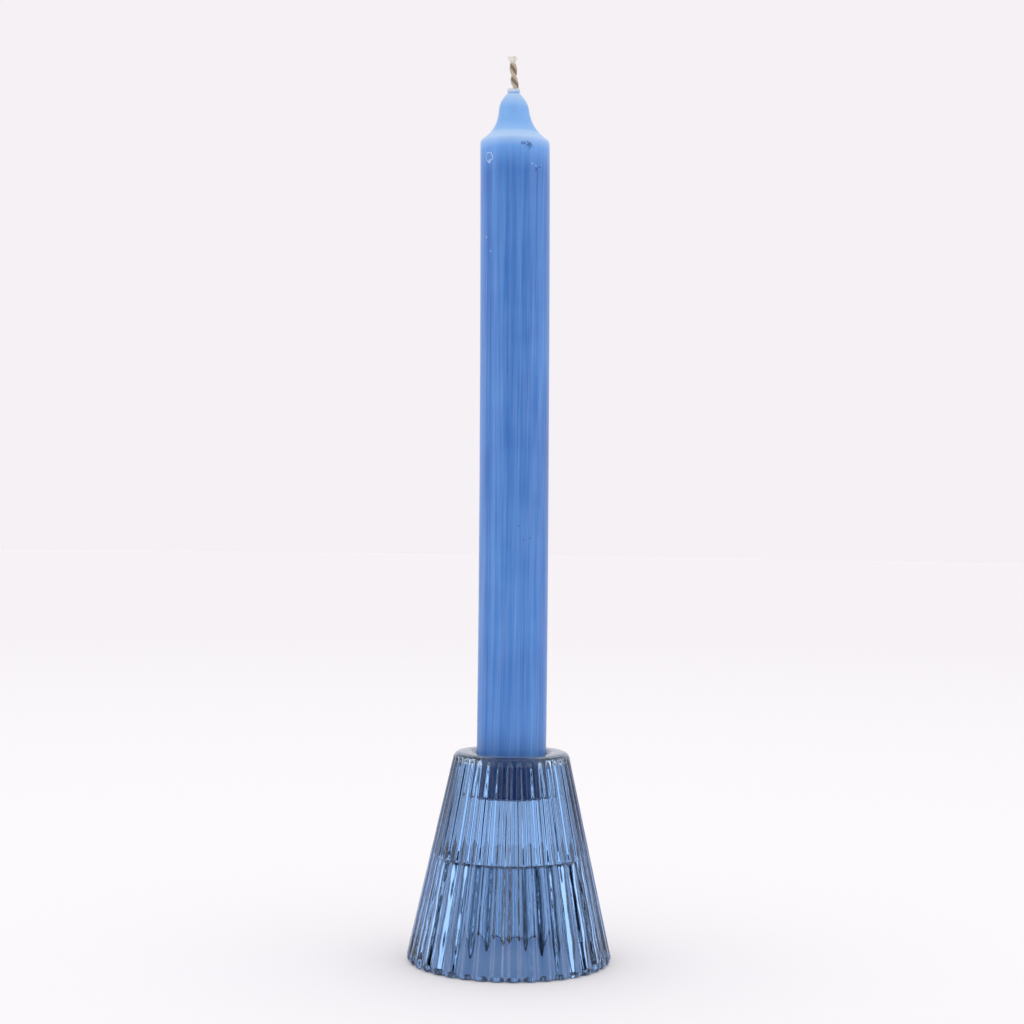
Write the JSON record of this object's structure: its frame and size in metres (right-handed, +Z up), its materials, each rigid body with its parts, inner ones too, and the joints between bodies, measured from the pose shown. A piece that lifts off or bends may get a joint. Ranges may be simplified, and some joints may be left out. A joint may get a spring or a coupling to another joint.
{
  "type": "candlestick",
  "caption": "Ribbed conical glass candlestick holding one dinner candle in its taper socket, with a tealight well open underneath.",
  "frame": {"origin": "centre of the foot ring, on the table", "axes": "+Z up along the candle, -Y towards the viewer, +X to the viewer's right"},
  "size_m": [0.0648, 0.0648, 0.2868],
  "materials": {
    "blue_glass": "fire-polished pressed soda-lime glass, tinted steel blue",
    "undyed_wax": "undyed paraffin wax",
    "blue_wax": "dyed paraffin overdip, slightly sheeny, with fine marks along its length",
    "cotton_wick": "twisted cotton cord, unburnt"
  },
  "bodies": {
    "holder": {"glass_holder": "blue_glass"},
    "candle": {"candle_core": "undyed_wax", "candle_overdip": "blue_wax", "wick": "cotton_wick"}
  },
  "joints": [
    {"name": "candle_lift", "type": "slide", "parent": "holder", "child": "candle", "axis": [0, 0, 1], "range_m": [0, 0.03]}
  ]
}
